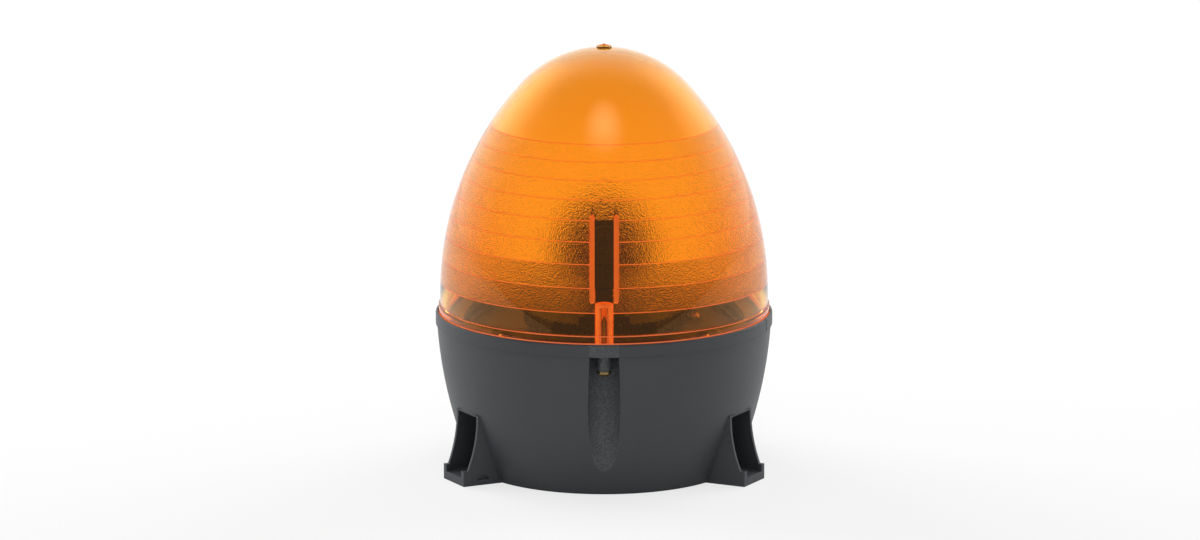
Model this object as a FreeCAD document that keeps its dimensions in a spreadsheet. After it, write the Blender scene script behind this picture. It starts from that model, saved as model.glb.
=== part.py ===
import FreeCAD, Part
import math
import os
import re

import Sketcher

# Rotating beacon for gates and machines: an egg-shaped amber dome, screwed from below to a
# tapered base housing that stands on three slotted feet. Inside, a motor under the chassis
# plate drives a geared turntable, which carries a parabolic reflector round a fixed lamp.
# Frame: +Z up, origin on the axis in the plane of the feet, front towards -Y. Millimetres.

doc = FreeCAD.newDocument("RotatingBeacon")
sheet = doc.addObject("Spreadsheet::Sheet", "dims")

DIMENSIONS = (
    # base housing: tapered body, collar with a rebate for the dome
    ("body_bottom_r", 59.7), ("body_flush", 1.4), ("body_side_arc", 200.0), ("body_height", 64.7),
    ("body_wall", 2.6), ("body_floor", 3.0), ("body_edge", 0.8), ("collar_lip", 2.0), ("collar_height", 5.5),
    ("rim_wall", 1.1), ("rim_edge", 0.8), ("shelf_thick", 2.8), ("shelf_width", 11.4),
    ("notch_azimuth", -17.3), ("notch_width", 0.6), ("notch_depth", 0.8),
    # screwdriver grooves below the dome screws
    ("groove_r", 7.1), ("groove_inset", 2.0), ("groove_wall", 2.2),
    ("screw_boss_r", 2.8), ("screw_boss_drop", 7.1), ("dome_screw_inset", 4.0),
    # slotted feet
    ("foot_reach", 76.5), ("foot_half_width", 9.25), ("foot_flare", 4.5), ("foot_wall", 1.4),
    ("foot_floor", 3.7), ("foot_top", 31.0), ("foot_top_inset", 3.5), ("foot_curve_r", 60.0),
    ("ear_height", 6.8), ("ear_depth", 2.2), ("ear_thick", 2.4), ("ear_overlap", 0.1), ("pocket_inset", 3.7),
    ("pocket_top", 30.4), ("pocket_wall", 2.2), ("bolt_shift", 0.75), ("bolt_hole_r", 2.6),
    ("moon_r", 3.0), ("moon_low", 2.5), ("moon_high", 4.4), ("moon_depth", 0.8),
    # cable entry in the floor
    ("entry_r", 8.0), ("entry_recess_r", 10.6), ("entry_recess_depth", 1.5), ("grommet_flange_r", 10.2),
    ("grommet_bore_r", 4.0), ("grommet_inside", 1.8), ("grommet_gap", 0.2),
    # amber dome
    ("dome_r", 73.0), ("dome_height", 119.3), ("band_height", 9.3), ("dome_crown_r", 50.0),
    ("dome_wall", 2.5), ("flange_lip", 0.6), ("flange_height", 5.1),
    ("gate_mark_r", 3.4), ("gate_mark_height", 0.9), ("gate_nib_r", 0.9), ("gate_nib_height", 0.8),
    ("ring_start", 14.5), ("ring_pitch", 10.65), ("ring_shrink", 0.94), ("ring_count", 9),
    ("ring_step", 0.35), ("dome_boss_r", 4.1), ("dome_boss_height", 18.5), ("pilot_r", 2.0),
    ("pilot_depth", 17.0), ("rib_gap", 8.2), ("rib_thick", 2.1), ("rib_start", 18.8),
    ("rib_end", 55.3), ("rib_depth", 3.6),
    # dome gasket
    ("gasket_thick", 1.2), ("gasket_width", 2.6),
    # dome screws
    ("dome_screw_shank_r", 1.8), ("dome_screw_head_r", 3.15), ("dome_screw_head", 2.2),
    ("dome_screw_length", 24.0), ("screw_clearance", 0.1),
    # chassis plate on three posts of the housing
    ("deck_drop", 4.7), ("plate_thick", 2.5), ("plate_inset", 12.5), ("plate_rim", 1.6),
    ("plate_rim_height", 1.5),
    ("plate_hub_r", 17.5), ("plate_hub_depth", 6.0), ("plate_gap", 0.1),
    ("post_inset", 10.5), ("post_r", 4.5), ("wire_hole_r", 5.0), ("wire_hole_y", 26.0),
    # small screws of the inside
    ("screw_shank_r", 1.5), ("screw_head_r", 2.75), ("screw_head", 1.8), ("pilot_gap", 0.05),
    ("screw_edge_share", 0.45), ("screw_crown_share", 0.55), ("screw_point_share", 0.5),
    ("long_bite", 8.0), ("chassis_bite", 7.5), ("short_bite", 4.4),
    # hollow centre post and what turns on it
    ("centre_r", 6.0), ("centre_bore_r", 4.0), ("centre_below", 7.0), ("centre_flange_r", 17.0),
    ("centre_flange", 1.5), ("centre_height", 27.0), ("centre_screw_circle_r", 13.5),
    ("washer_thick", 0.6), ("washer_r", 9.5), ("washer_gap", 0.1), ("running_gap", 0.05),
    ("bush_wall", 2.0), ("hub_wall", 2.0), ("hub_height", 20.0), ("hub_gap", 0.2),
    ("clip_thick", 0.8), ("clip_r", 8.4), ("clip_groove", 0.7), ("clip_open", 6.0), ("clip_gap", 0.3),
    # gears
    ("tooth_module", 1.0), ("gear_teeth", 70), ("pinion_teeth", 14), ("gear_face", 5.0),
    ("gear_web", 2.5), ("gear_rim", 3.0), ("gear_lift", 0.8), ("backlash", 0.16), ("tooth_addendum", 0.9),
    ("tooth_dedendum", 1.25), ("pressure_angle", 20.0), ("pinion_extra", 0.8), ("mesh_gap", 0.08),
    # motor below the plate
    ("motor_azimuth", 30.0), ("motor_r", 12.0), ("motor_height", 32.0), ("motor_nose_r", 4.0),
    ("motor_nose", 1.2), ("motor_shaft_r", 1.5), ("shaft_depth", 22.0), ("motor_screw_circle_r", 8.5),
    ("motor_edge", 0.8), ("shaft_edge", 0.4),
    ("shaft_proud", 0.8), ("end_cap_thick", 3.0), ("end_cap_r", 11.4),
    ("tab_width", 2.8), ("tab_thick", 0.5), ("tab_length", 6.0),
    # reflector, its carrier and screws
    ("focal_length", 10.0), ("focus_height", 44.0), ("mirror_wall", 1.6), ("mirror_rim", 1.6),
    ("lamp_way_r", 10.4), ("lamp_way_drop", 6.0), ("mirror_boss_r", 3.4), ("mirror_screw_half", 8.0),
    ("carrier_y", 14.0), ("carrier_thick", 2.0), ("carrier_width", 15.0), ("carrier_foot", 13.0),
    ("carrier_foot_width", 22.0), ("carrier_screw_half", 7.0), ("carrier_fold_r", 1.6),
    ("carrier_margin", 0.8),
    # lamp and its holder
    ("holder_r", 8.4), ("holder_overlap", 4.0), ("holder_height", 11.0), ("holder_web", 1.0),
    ("cap_r", 5.4), ("cap_height", 7.5), ("glass_r", 6.4), ("glass_neck_r", 4.6), ("glass_height", 18.0),
    ("glass_shoulder", 3.5), ("holder_wire_r", 2.0), ("holder_gap", 0.05),
    # terminal block, suppressor board and cord clamp on the floor
    ("board_length", 46.0), ("board_width", 30.0), ("board_thick", 1.6), ("board_y", -31.0),
    ("board_lift", 6.0), ("board_screw_inset", 4.0), ("standoff_r", 3.4),
    ("block_length", 26.0), ("block_width", 13.0), ("block_height", 13.0), ("block_step_height", 7.0),
    ("block_top_width", 8.0), ("block_edge", 0.8), ("block_y", -24.5),
    ("way_pitch", 8.0), ("way_r", 1.7), ("way_height", 4.0),
    ("capacitor_length", 18.0), ("capacitor_width", 8.5), ("capacitor_height", 14.0), ("capacitor_y", -39.5),
    ("clamp_y", 22.0), ("clamp_span", 26.0), ("clamp_width", 8.0), ("clamp_thick", 2.4),
    ("clamp_lift", 7.0), ("clamp_arch_r", 5.0), ("clamp_arch_rise", 1.2), ("clamp_post_r", 3.6),
)
NAMES = {name for name, number in DIMENSIONS}

for row, (name, number) in enumerate(DIMENSIONS, start=1):
    sheet.set(f"A{row}", name)
    sheet.set(f"B{row}", str(number))
    sheet.setAlias(f"B{row}", name)
doc.recompute()

FRONT = -90.0                                   # azimuth of the front, in degrees about +Z
GROOVE_AZIMUTHS = [FRONT + 120.0 * i for i in range(3)]
FOOT_AZIMUTHS = [FRONT + 60.0 + 120.0 * i for i in range(3)]
UP = FreeCAD.Vector(0, 0, 1)
CUT = 1.0                                       # how far a cutting tool runs past a face


# ---------------------------------------------------------------- formulas and placing
def named(formula):
    """The formula with each dimension's name pointed at its cell."""
    def cell(match):
        word = match.group()
        return "dims." + word if word in NAMES else word
    return re.sub(r"[a-z_]+", cell, str(formula))


def value(formula):
    """The number that a formula works out to."""
    result = sheet.evalExpression(named(formula))
    return float(getattr(result, "Value", result))


def bind(thing, **formulas):
    """Bind properties of a feature to formulas of the sheet's names."""
    for prop, formula in formulas.items():
        thing.setExpression(prop, named(formula))
    return thing


def place(thing, x="0", y="0", z="0", turn=0.0, axis=UP):
    """Turn a feature about its own origin, then bind where that origin stands."""
    thing.Placement = FreeCAD.Placement(FreeCAD.Vector(), FreeCAD.Rotation(axis, turn))
    for letter, formula in (("x", x), ("y", y), ("z", z)):
        thing.setExpression("Placement.Base." + letter, named(formula))
    return thing


# ---------------------------------------------------------------- sketches
def pin(sketch, index, end, x, y):
    """Fix one end of an edge at formulas x and y from the sketch's origin."""
    for kind, formula, axis in (("DistanceX", x, -2), ("DistanceY", y, -1)):
        if str(formula) == "0":
            sketch.addConstraint(Sketcher.Constraint("PointOnObject", index, end, axis))
            continue
        rule = sketch.addConstraint(Sketcher.Constraint(kind, -1, 1, index, end, value(formula)))
        sketch.setExpression(f"Constraints[{rule}]", named(formula))


def draw(sketch, corners):
    """Close an outline through corners (x, y), where (x, y, radius) starts an arc instead of a
    straight edge: a positive radius has its centre on the left of the way, a negative one on
    the right."""
    first = sketch.GeometryCount
    ends = []
    for i, corner in enumerate(corners):
        following = corners[(i + 1) % len(corners)]
        start = FreeCAD.Vector(value(corner[0]), value(corner[1]), 0)
        finish = FreeCAD.Vector(value(following[0]), value(following[1]), 0)
        if len(corner) == 2:
            sketch.addGeometry(Part.LineSegment(start, finish), False)
            ends.append((1, 2))
            continue
        radius = value(corner[2])
        chord = finish - start
        rise = math.sqrt(max(radius ** 2 - chord.Length ** 2 / 4, 0.0))
        left = FreeCAD.Vector(-chord.y, chord.x, 0).normalize()
        centre = (start + finish) * 0.5 + left * math.copysign(rise, radius)
        angles = [math.atan2(p.y - centre.y, p.x - centre.x) for p in (start, finish)]
        if radius < 0:
            angles.reverse()
        circle = Part.Circle(centre, UP, abs(radius))
        sketch.addGeometry(Part.ArcOfCircle(circle, *angles), False)
        ends.append((1, 2) if radius > 0 else (2, 1))
    for i, corner in enumerate(corners):
        pin(sketch, first + i, ends[i][0], corner[0], corner[1])
        other = (i + 1) % len(corners)
        joint = Sketcher.Constraint("Coincident", first + i, ends[i][1], first + other, ends[other][0])
        sketch.addConstraint(joint)
        if len(corner) == 3:
            rule = sketch.addConstraint(Sketcher.Constraint("Radius", first + i, abs(value(corner[2]))))
            sketch.setExpression(f"Constraints[{rule}]", named(f"abs({corner[2]})"))
    return sketch


def upright_sketch(name, corners):
    """A sketch in the XZ plane: its x is the world's X, its y the world's Z."""
    sketch = doc.addObject("Sketcher::SketchObject", name)
    sketch.Placement = FreeCAD.Placement(FreeCAD.Vector(), FreeCAD.Rotation(FreeCAD.Vector(1, 0, 0), 90))
    return draw(sketch, corners)


def flat_sketch(name, corners):
    """A sketch in the XY plane."""
    return draw(doc.addObject("Sketcher::SketchObject", name), corners)


# ---------------------------------------------------------------- solids
def turned(name, corners):
    """A solid turned about the beacon's axis from a half section of (radius, height) corners."""
    solid = doc.addObject("Part::Revolution", name)
    solid.Source = upright_sketch(name + "_section", corners)
    solid.Axis = UP
    solid.Base = FreeCAD.Vector()
    solid.Angle = 360
    solid.Solid = True
    return solid


def extruded(name, sketch, depth, direction=UP, both=False):
    """A sketch made solid over a depth along a direction, or half to each side of it."""
    solid = doc.addObject("Part::Extrusion", name)
    solid.Base = sketch
    solid.DirMode = "Custom"
    solid.Dir = direction
    solid.Solid = True
    solid.Symmetric = both
    return bind(solid, LengthFwd=depth)


def cylinder(name, radius, height):
    return bind(doc.addObject("Part::Cylinder", name), Radius=radius, Height=height)


def block(name, length, width, height, x="0", y="0", z="0"):
    """A box centred on x and y, standing on z."""
    solid = bind(doc.addObject("Part::Box", name), Length=length, Width=width, Height=height)
    return place(solid, f"({x}) - ({length}) / 2", f"({y}) - ({width}) / 2", z)


def fused(name, *solids):
    solid = doc.addObject("Part::MultiFuse", name)
    solid.Shapes = list(solids)
    return solid


def common(name, *solids):
    solid = doc.addObject("Part::MultiCommon", name)
    solid.Shapes = list(solids)
    return solid


def cut(name, base, *tools):
    solid = doc.addObject("Part::Cut", name)
    solid.Base = base
    solid.Tool = tools[0] if len(tools) == 1 else fused(name + "_tools", *tools)
    return solid


def group(name, solids):
    """Several equal loose solids that share one node."""
    members = doc.addObject("Part::Compound", name)
    members.Links = solids
    return members


SUBPARTS = []


def finished(solid, label):
    """Enter a feature as a sub-part under its label, which also names its file."""
    solid.Label = label
    SUBPARTS.append(solid)
    return solid


def body(label):
    """A PartDesign body, entered as a sub-part."""
    return finished(doc.addObject("PartDesign::Body", label), label)


def turned_body(label, corners):
    """A PartDesign body of one half section turned about the body's own Z axis."""
    part = body(label)
    plane = next(f for f in part.Origin.OriginFeatures if f.Role == "XZ_Plane")
    sketch = part.newObject("Sketcher::SketchObject", label + "_section")
    sketch.AttachmentSupport = [(plane, "")]
    sketch.MapMode = "FlatFace"
    draw(sketch, corners)
    turn = part.newObject("PartDesign::Revolution", label + "_turn")
    turn.Profile = sketch
    turn.ReferenceAxis = (sketch, ["V_Axis"])
    turn.Angle = 360
    return part


def ring_section(inner, outer, low, high):
    """The half section of a plain ring."""
    return [(inner, low), (outer, low), (outer, high), (inner, high)]


def screw_solid(name, head_r, head, shank_r, length):
    """A pan-head screw whose head stands on z = 0 with its shank down -Z."""
    return turned(name, [
        ("0", f"-{length}"), (f"{shank_r} * screw_point_share", f"-{length}"),
        (shank_r, f"-{length} + {shank_r}"), (shank_r, "0"), (head_r, "0"),
        (head_r, f"{head} * screw_edge_share"), (f"{head_r} * screw_crown_share", head), ("0", head),
    ])


def small_screws(label, bite, spots):
    """The inside's own small pan-head screws, one at each (x, y, z), as one node."""
    screws = []
    for i, (x, y, z) in enumerate(spots):
        screw = screw_solid(f"{label}_{i}", "screw_head_r", "screw_head", "screw_shank_r", bite)
        screws.append(place(screw, x, y, z))
    return finished(group(label, screws), label)


def polar_spot(radius, azimuth):
    """The x and y formulas of a spot at a radius and azimuth about the axis."""
    return f"({radius}) * cos({azimuth})", f"({radius}) * sin({azimuth})"


def copies(solid, azimuths):
    """A feature repeated by links turned about the beacon's axis."""
    links = []
    for i, azimuth in enumerate(azimuths):
        link = doc.addObject("App::Link", f"{solid.Name}_{i}")
        link.LinkedObject = solid
        link.LinkTransform = True
        link.LinkPlacement = FreeCAD.Placement(FreeCAD.Vector(), FreeCAD.Rotation(UP, azimuth))
        links.append(link)
    return group(solid.Name + "_copies", links)


def raised(name, radius, low, high, x="0", y="0"):
    """An upright cylinder at x, y from one height to another."""
    return place(cylinder(name, radius, f"({high}) - ({low})"), x, y, low)


def at_radius(name, radius, low, high, reach):
    """An upright cylinder standing off the axis along +X."""
    return raised(name, radius, low, high, reach)


# ---------------------------------------------------------------- radii and heights that several pieces share
BODY_TOP_R = "(dome_r + body_flush)"
COLLAR_R = "(dome_r + collar_lip)"
RIM_TOP = "(body_height + collar_height)"
RIM_INNER = f"({COLLAR_R} - rim_wall)"
SHELF_INNER_R = f"({RIM_INNER} - shelf_width)"
DOME_FLANGE_R = "(dome_r + flange_lip)"
DOME_SCREW_CIRCLE = "(dome_r - dome_screw_inset)"
GROOVE_AXIS_R = "(dome_r - groove_inset)"
POCKET_REACH = "(body_bottom_r - pocket_inset)"
FOOT_TOP_REACH = "(dome_r - foot_top_inset)"
BOLT_CIRCLE = f"(({POCKET_REACH} + foot_reach) / 2 + bolt_shift)"
PLATE_R = "(dome_r - plate_inset)"
POST_CIRCLE = f"({PLATE_R} - post_inset)"
SHELF_TOP = "(body_height + shelf_thick)"
DOME_SEAT = f"({SHELF_TOP} + gasket_thick)"
DOME_TOP = f"({DOME_SEAT} + dome_height)"
BAND_TOP = f"({DOME_SEAT} + band_height)"
FLANGE_EDGE = f"({DOME_SEAT} + flange_height)"
BOSS_TOP = f"({DOME_SEAT} + dome_boss_height)"
RIB_LOW = f"({DOME_SEAT} + rib_start)"
RIB_HIGH = f"({DOME_SEAT} + rib_end)"
DECK = "(body_height - deck_drop)"
CENTRE_TOP = f"({DECK} + centre_height)"
HUB_TOP = f"({DECK} + hub_height)"
FOCUS = f"({DECK} + focus_height)"
PLATE_TOP = f"({DECK} + plate_thick)"
FLANGE_TOP = f"({PLATE_TOP} + centre_flange)"
BUSH_LOW = f"({FLANGE_TOP} + washer_thick + washer_gap)"
HUB_LOW = f"({BUSH_LOW} + hub_gap)"
BUSH_INNER = "(centre_r + running_gap)"
HUB_INNER = f"({BUSH_INNER} + bush_wall)"
HUB_OUTER = f"({HUB_INNER} + hub_wall)"
CLIP_LOW = f"({HUB_TOP} + clip_gap)"
GEAR_LOW = f"({PLATE_TOP} + screw_head + gear_lift)"
GEAR_TOP = f"({GEAR_LOW} + gear_face)"
MOTOR_CIRCLE = "(tooth_module * (gear_teeth + pinion_teeth) / 2 + mesh_gap)"
MOTOR_LOW = f"({DECK} - motor_height)"
BOARD_TOP = "(body_floor + board_lift + board_thick)"
PILOT = "(screw_shank_r + pilot_gap)"
SIDEWAYS = FreeCAD.Vector(0, 1, 0)
AXIS_X = FreeCAD.Vector(1, 0, 0)


# ---------------------------------------------------------------- base housing
def foot_plan(inner, outer, less):
    """The flared plan of a foot between two reaches, its half width made less by a wall."""
    near = f"(foot_half_width - ({less}) + (foot_reach - ({inner})) * tan(foot_flare))"
    far = f"(foot_half_width - ({less}) + (foot_reach - ({outer})) * tan(foot_flare))"
    return [(inner, "-" + near), (outer, "-" + far), (outer, far), (inner, near)]


def foot_block(name, inner, outer, less, low, high):
    """A flared block of a foot's plan between two heights."""
    solid = extruded(name, flat_sketch(name + "_plan", foot_plan(inner, outer, less)), f"({high}) - ({low})")
    return place(solid, z=low)


def foot_form():
    """One foot, reaching along +X: a concave web that runs down the body to a stepped ear."""
    side = upright_sketch("foot_side", [
        (POCKET_REACH, "0"), ("foot_reach", "0"), ("foot_reach", "ear_height"),
        ("foot_reach - ear_depth", "ear_height", "-foot_curve_r"),
        (FOOT_TOP_REACH, "foot_top"), (POCKET_REACH, "foot_top"),
    ])
    web = extruded("foot_web", side, "4 * foot_half_width", SIDEWAYS, both=True)
    plan = foot_block("foot_outline", POCKET_REACH, "foot_reach", "0", "0", "foot_top")
    return common("foot", web, plan)


def foot_channel():
    """What is cut out of one foot: the channel for the bolt, open outwards, and the bolt hole."""
    ears = "foot_reach - ear_depth"
    inside = foot_block("channel", POCKET_REACH, ears, "foot_wall", "foot_floor", "pocket_top")
    mouth = foot_block("channel_mouth", f"{ears} - ear_overlap", f"foot_reach + {CUT}", "ear_thick",
                       "foot_floor", "pocket_top")
    hole = at_radius("bolt_hole", "bolt_hole_r", f"-{CUT}", f"foot_floor + {CUT}", BOLT_CIRCLE)
    return fused("foot_channel", inside, mouth, hole)


def foot_moon():
    """A half-moon recess low in one side of a foot, level with its bolt."""
    chord = "sqrt(moon_r ^ 2 - (moon_r - (moon_high - moon_low)) ^ 2)"
    outline = upright_sketch("moon_outline", [
        (f"-{chord}", "moon_low"), (chord, "moon_low", "moon_r"), ("0", "moon_high", "moon_r"),
    ])
    depth = f"moon_depth + {CUT}"
    moon = extruded("foot_moon", outline, depth, SIDEWAYS)
    side = f"(foot_half_width + (foot_reach - {BOLT_CIRCLE}) * tan(foot_flare))"
    return place(moon, BOLT_CIRCLE, f"{side} - moon_depth")


def collar_notch():
    """A narrow upright notch in the collar's outside."""
    notch = block("collar_notch", f"notch_depth + {CUT}", "notch_width", f"collar_height + {CUT}",
                  f"{COLLAR_R} - notch_depth + (notch_depth + {CUT}) / 2", "0", "body_height")
    return copies(notch, [value("notch_azimuth")])


def housing_form():
    """The turned outside of the body and its collar."""
    return turned("housing_form", [
        ("0", "0"), ("body_bottom_r - body_edge", "0"), ("body_bottom_r", "body_edge", "body_side_arc"),
        (BODY_TOP_R, "body_height"), (COLLAR_R, "body_height"),
        (COLLAR_R, f"{RIM_TOP} - rim_edge", "rim_edge"), (f"{COLLAR_R} - rim_edge", RIM_TOP),
        ("0", RIM_TOP),
    ])


def housing_cavity():
    """The turned inside, from the floor up past the shelf that the dome sits on."""
    return turned("housing_cavity", [
        ("0", "body_floor"), ("body_bottom_r - body_wall", "body_floor", "body_side_arc - body_wall"),
        (f"{BODY_TOP_R} - body_wall", "body_height"), (SHELF_INNER_R, "body_height"),
        (SHELF_INNER_R, SHELF_TOP), (RIM_INNER, SHELF_TOP), (RIM_INNER, f"{RIM_TOP} + {CUT}"),
        ("0", f"{RIM_TOP} + {CUT}"),
    ])


def board_corners():
    """Where the board stands on the floor: its corners' x and y formulas."""
    across = "(board_length / 2 - board_screw_inset)"
    along = "(board_width / 2 - board_screw_inset)"
    return [(f"{a}{across}", f"board_y {b} {along}") for a in ("-", "+") for b in "-+"]


def clamp_posts():
    """The x and y formulas of the two posts that carry the cord clamp."""
    return [(f"{side}(clamp_span / 2 - clamp_post_r)", "clamp_y") for side in ("-", "+")]


def floor_furniture():
    """What stands inside the housing: pocket walls, groove backs, posts and standoffs."""
    pocket = foot_block("pocket_shell", f"{POCKET_REACH} - pocket_wall", f"foot_reach + {CUT}", "0",
                        "0", "pocket_top + pocket_wall")
    back = at_radius("groove_back", "groove_r + groove_wall", "0", "body_height", GROOVE_AXIS_R)
    post = at_radius("chassis_post", "post_r", "0", DECK, POST_CIRCLE)
    things = [copies(pocket, FOOT_AZIMUTHS), copies(back, GROOVE_AZIMUTHS), copies(post, FOOT_AZIMUTHS)]
    for i, (x, y) in enumerate(board_corners()):
        things.append(raised(f"standoff_{i}", "standoff_r", "0", "body_floor + board_lift", x, y))
    for i, (x, y) in enumerate(clamp_posts()):
        things.append(raised(f"clamp_post_{i}", "clamp_post_r", "0", "body_floor + clamp_lift", x, y))
    return things


def screw_pilots():
    """The blind holes that the inside's screws bite into."""
    post = at_radius("chassis_pilot", PILOT, f"{DECK} - long_bite", f"{DECK} + {CUT}", POST_CIRCLE)
    holes = [copies(post, FOOT_AZIMUTHS)]
    over = f"body_floor + board_lift + {CUT}"
    for i, (x, y) in enumerate(board_corners()):
        holes.append(raised(f"board_pilot_{i}", PILOT, "body_floor", over, x, y))
    over = f"body_floor + clamp_lift + {CUT}"
    for i, (x, y) in enumerate(clamp_posts()):
        holes.append(raised(f"clamp_pilot_{i}", PILOT, "body_floor", over, x, y))
    return holes


def base_housing():
    outside = fused("housing_outside", housing_form(), copies(foot_form(), FOOT_AZIMUTHS))
    hollow = cut("housing_hollow", housing_cavity(), *floor_furniture())
    groove = at_radius("groove", "groove_r", f"-{CUT}", "body_height", GROOVE_AXIS_R)
    entry = raised("cable_entry", "entry_r", f"-{CUT}", f"body_floor + {CUT}")
    recess = raised("entry_recess", "entry_recess_r", f"-{CUT}", "entry_recess_depth")
    shell = cut("housing_shell", outside, hollow, copies(foot_channel(), FOOT_AZIMUTHS),
                copies(foot_moon(), FOOT_AZIMUTHS), copies(groove, GROOVE_AZIMUTHS), collar_notch(),
                entry, recess)
    boss = at_radius("screw_boss", "screw_boss_r", "body_height - screw_boss_drop", "body_height",
                     DOME_SCREW_CIRCLE)
    way = at_radius("dome_screw_way", "dome_screw_shank_r + screw_clearance",
                    f"body_height - screw_boss_drop - {CUT}", f"{SHELF_TOP} + {CUT}", DOME_SCREW_CIRCLE)
    bossed = fused("housing_bossed", shell, copies(boss, GROOVE_AZIMUTHS))
    return finished(cut("housing", bossed, copies(way, GROOVE_AZIMUTHS), *screw_pilots()), "base_housing")


# ---------------------------------------------------------------- amber dome
EGG_HEIGHT = "(dome_height - band_height)"
EGG_SIDE = (f"((dome_r ^ 2 + {EGG_HEIGHT} ^ 2 - 2 * {EGG_HEIGHT} * dome_crown_r)"
            " / (2 * (dome_r - dome_crown_r)))")
EGG_LEAN = f"(({EGG_SIDE} - dome_r) / ({EGG_SIDE} - dome_crown_r))"
EGG_RISE = f"(({EGG_HEIGHT} - dome_crown_r) / ({EGG_SIDE} - dome_crown_r))"


def egg_radius(depth, height):
    """The radius of the egg's side, a depth inside its surface, at a height above its band."""
    return f"(dome_r - {EGG_SIDE} + sqrt(({EGG_SIDE} - ({depth})) ^ 2 - (({height}) - {BAND_TOP}) ^ 2))"


def egg_crown(depth):
    """The corners where the side's arc meets the crown's, and the top, a depth inside the surface."""
    crown = f"(dome_crown_r - ({depth}))"
    return [(f"{crown} * {EGG_LEAN}", f"{DOME_TOP} - dome_crown_r + {crown} * {EGG_RISE}", crown),
            ("0", f"{DOME_TOP} - ({depth})")]


def plain_egg(name, depth):
    """The egg's filled form, a depth inside its surface, from below its seat."""
    low = f"{DOME_SEAT} - {CUT}"
    wall = f"dome_r - ({depth})"
    return turned(name, [("0", low), (wall, low), (wall, BAND_TOP, f"{EGG_SIDE} - ({depth})")]
                  + egg_crown(depth))


def ring_height(index):
    """The height of a ring on the dome's inside; the pitch shrinks upwards by one ratio."""
    return f"({DOME_SEAT} + ring_start + ring_pitch * (1 - ring_shrink ^ {index}) / (1 - ring_shrink))"


def dome_outside():
    form = turned("dome_form", [
        ("0", DOME_SEAT), (DOME_FLANGE_R, DOME_SEAT), (DOME_FLANGE_R, FLANGE_EDGE),
        ("dome_r", FLANGE_EDGE), ("dome_r", BAND_TOP, EGG_SIDE),
    ] + egg_crown("0"))
    mark = raised("gate_mark", "gate_mark_r", f"{DOME_TOP} - {CUT}", f"{DOME_TOP} + gate_mark_height")
    nib = raised("gate_nib", "gate_nib_r", DOME_TOP, f"{DOME_TOP} + gate_mark_height + gate_nib_height")
    return fused("dome_outside", form, mark, nib)


def dome_inside():
    """The stepped inside: each ring is a small ledge, and the wall runs straight between rings."""
    low = f"{DOME_SEAT} - {CUT}"
    corners = [("0", low), ("dome_r - dome_wall", low), ("dome_r - dome_wall", ring_height(0))]
    rings = int(value("ring_count"))
    for i in range(rings - 1):
        corners.append((f"{egg_radius('dome_wall', ring_height(i))} - ring_step", ring_height(i)))
        corners.append((egg_radius("dome_wall", ring_height(i + 1)), ring_height(i + 1)))
    last = ring_height(rings - 1)
    corners.append((f"{egg_radius('dome_wall', last)} - ring_step", last, f"{EGG_SIDE} - dome_wall"))
    return turned("dome_inside", corners + egg_crown("dome_wall"))


def rib_outline(side):
    """An upright rib's outline with round ends, to one side of a screw's radius."""
    near = "(rib_gap / 2)" if side > 0 else "(-rib_gap / 2 - rib_thick)"
    middle = f"({near} + rib_thick / 2)"
    far = f"({near} + rib_thick)"
    low = f"{RIB_LOW} + rib_thick / 2"
    high = f"{RIB_HIGH} - rib_thick / 2"
    return [(far, low), (far, high, "rib_thick / 2"), (middle, RIB_HIGH, "rib_thick / 2"),
            (near, high), (near, low, "rib_thick / 2"), (middle, RIB_LOW, "rib_thick / 2")]


def dome():
    outside = dome_outside()
    boss = at_radius("dome_boss", "dome_boss_r", DOME_SEAT, BOSS_TOP, DOME_SCREW_CIRCLE)
    ribs = []
    for side in (-1, 1):
        name = "rib_left" if side < 0 else "rib_right"
        rib = extruded(name, flat_sketch(name + "_outline", rib_outline(side)), "dome_r")
        across = FreeCAD.Rotation(FreeCAD.Vector(1, 1, 1), 120)
        rib.Placement = FreeCAD.Placement(FreeCAD.Vector(), across)
        ribs.append(rib)
    behind = plain_egg("rib_core", "dome_wall + rib_depth")
    ribs = cut("rib_pair", fused("rib_blanks", *ribs), behind)
    fixings = fused("dome_fixings", copies(boss, GROOVE_AZIMUTHS), copies(ribs, GROOVE_AZIMUTHS))
    added = common("dome_added", fixings, outside)
    pilot = at_radius("dome_pilot", "pilot_r", f"{DOME_SEAT} - {CUT}", f"{DOME_SEAT} + pilot_depth",
                      DOME_SCREW_CIRCLE)
    whole = fused("dome_whole", cut("dome_shell", outside, dome_inside()), added)
    return finished(cut("dome_solid", whole, copies(pilot, GROOVE_AZIMUTHS)), "dome")


def dome_gasket():
    inner = f"{DOME_FLANGE_R} - gasket_width"
    return turned_body("dome_gasket", ring_section(inner, DOME_FLANGE_R, SHELF_TOP, DOME_SEAT))


def dome_screws():
    """Three screws driven upwards from the grooves, their heads under the housing's bosses."""
    screws = []
    for i, azimuth in enumerate(GROOVE_AZIMUTHS):
        screw = screw_solid(f"dome_screw_{i}", "dome_screw_head_r", "dome_screw_head", "dome_screw_shank_r",
                            "dome_screw_length")
        x, y = polar_spot(DOME_SCREW_CIRCLE, azimuth)
        screws.append(place(screw, x, y, "body_height - screw_boss_drop", 180, AXIS_X))
    return finished(group("dome_screw_set", screws), "dome_screws")


def cable_grommet():
    """A rubber grommet whose outer flange lies in the floor's recess."""
    top = "body_floor + grommet_inside"
    return turned_body("cable_grommet", [
        ("grommet_bore_r", "grommet_gap"), ("grommet_flange_r", "grommet_gap"),
        ("grommet_flange_r", "entry_recess_depth"), ("entry_r", "entry_recess_depth"),
        ("entry_r", "body_floor"), ("grommet_flange_r", "body_floor"), ("entry_r", top),
        ("grommet_bore_r", top),
    ])


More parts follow.
